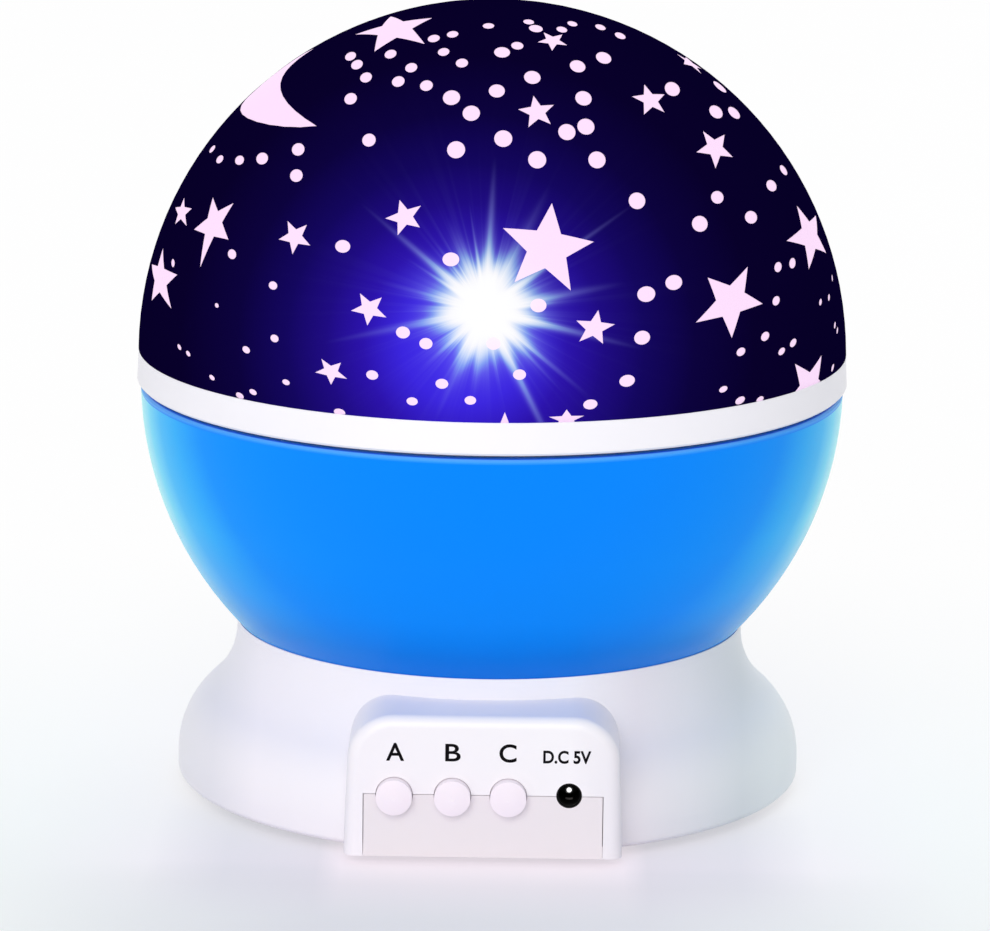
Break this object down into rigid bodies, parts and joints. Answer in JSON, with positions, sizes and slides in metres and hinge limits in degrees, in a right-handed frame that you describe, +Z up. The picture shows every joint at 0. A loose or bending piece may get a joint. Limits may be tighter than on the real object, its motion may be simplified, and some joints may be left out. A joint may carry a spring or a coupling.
{
  "type": "star night light projector",
  "caption": "Table-top star projector night light: dark dome with cut star, dot and crescent windows turns on a gloss bowl above a flared foot with buttons and a jack.",
  "frame": {"origin": "on the dome axis, at the plane of the rubber feet", "axes": "+Z up along the dome axis, -Y towards the button panel, +X to the right seen from the panel side"},
  "size_m": [0.1204, 0.1204, 0.1342],
  "materials": {
    "dark_skin": "near-black navy printed skin",
    "diffuser": "pale frosted dome",
    "white_gloss": "cool white gloss moulding",
    "white_satin": "white satin moulding",
    "white_matt": "natural white moulding",
    "grey_plastic": "light grey moulding",
    "blue_gloss": "bright blue gloss moulding",
    "button_white": "white gloss",
    "black_plastic": "black moulding",
    "screw_steel": "zinc-plated",
    "spring_steel": "bright spring steel",
    "contact_plate": "nickel plate",
    "motor_can": "drawn can",
    "gear_yellow": "acetal",
    "gear_white": "acetal",
    "gear_blue": "acetal",
    "pad_rubber": "pale soft rubber",
    "cell_wrap": "printed shrink wrap",
    "green_board": "solder mask",
    "white_board": "white solder mask",
    "lamp_warm": "clear epoxy",
    "lamp_red": "clear epoxy, red",
    "lamp_green": "clear epoxy, green",
    "lamp_blue": "clear epoxy, blue",
    "part_tan": "ceramic coating",
    "lead_red": "PVC lead",
    "lead_black": "PVC lead"
  },
  "bodies": {
    "base": {"bowl": "blue_gloss", "bowl_screws": "screw_steel", "base_shell": "white_gloss", "bottom_plate": "white_satin", "base_screws": "screw_steel", "rubber_feet": "pad_rubber", "deck": "grey_plastic", "deck_screws": "screw_steel", "led_post": "white_matt", "post_screws": "screw_steel", "thrust_washer": "black_plastic", "retaining_ring": "spring_steel", "led_board": "white_board", "warm_led": "lamp_warm", "red_led": "lamp_red", "green_led": "lamp_green", "blue_led": "lamp_blue", "motor": "motor_can", "motor_screws": "screw_steel", "gear_axles": "spring_steel", "axle_clip": "spring_steel", "battery_cells": "cell_wrap", "battery_springs": "spring_steel", "battery_contacts": "contact_plate", "control_board": "green_board", "switch_bodies": "black_plastic", "dc_jack": "black_plastic", "jack_pin": "contact_plate", "control_chip": "black_plastic", "capacitor": "cell_wrap", "resistors": "part_tan", "led_leads": "lead_red", "motor_leads": "lead_black", "battery_leads": "lead_red"},
    "table": {"turntable": "white_matt"},
    "cap": {"dome_ring": "white_gloss", "clear_dome": "diffuser", "night_sky_mask": "dark_skin"},
    "motor_rotor": {"motor_pinion": "gear_yellow"},
    "gear_a": {"gear_one": "gear_white"},
    "gear_b": {"gear_two": "gear_blue"},
    "press_a": {"button_a": "button_white", "plunger_a": "black_plastic"},
    "press_b": {"button_b": "button_white", "plunger_b": "black_plastic"},
    "press_c": {"button_c": "button_white", "plunger_c": "black_plastic"},
    "door": {"battery_door": "white_satin", "door_screw": "screw_steel"}
  },
  "joints": [
    {"name": "dome_spin", "type": "hinge", "parent": "base", "child": "table", "pos_m": [0, 0, 0.0685], "axis": [0, 0, 1], "continuous": true},
    {"name": "cap_lift", "type": "slide", "parent": "table", "child": "cap", "axis": [0, 0, 1], "range_m": [0, 0.06]},
    {"name": "gear_two_spin", "type": "hinge", "parent": "base", "child": "gear_b", "pos_m": [0, 0.03365, 0.0635], "axis": [0, 0, 1], "continuous": true},
    {"name": "gear_one_spin", "type": "hinge", "parent": "base", "child": "gear_a", "pos_m": [0.01527, 0.02809, 0.061], "axis": [0, 0, 1], "continuous": true},
    {"name": "motor_spin", "type": "hinge", "parent": "base", "child": "motor_rotor", "pos_m": [0.02981, 0.0242, 0.058], "axis": [0, 0, 1], "continuous": true},
    {"name": "battery_door_swing", "type": "hinge", "parent": "base", "child": "door", "pos_m": [0, 0.023, 0.0024], "axis": [1, 0, 0], "range_deg": [0, 75]},
    {"name": "button_a_press", "type": "slide", "parent": "base", "child": "press_a", "axis": [0, 1, 0], "range_m": [0, 0.0006], "stiffness_N_per_m": 120, "springref_m": -0.001},
    {"name": "button_b_press", "type": "slide", "parent": "base", "child": "press_b", "axis": [0, 1, 0], "range_m": [0, 0.0006], "stiffness_N_per_m": 120, "springref_m": -0.001},
    {"name": "button_c_press", "type": "slide", "parent": "base", "child": "press_c", "axis": [0, 1, 0], "range_m": [0, 0.0006], "stiffness_N_per_m": 120, "springref_m": -0.001}
  ],
  "couplings": [
    {"joint": "gear_two_spin", "follows": "dome_spin", "ratio": -6},
    {"joint": "gear_one_spin", "follows": "dome_spin", "ratio": 21},
    {"joint": "motor_spin", "follows": "dome_spin", "ratio": -84}
  ]
}
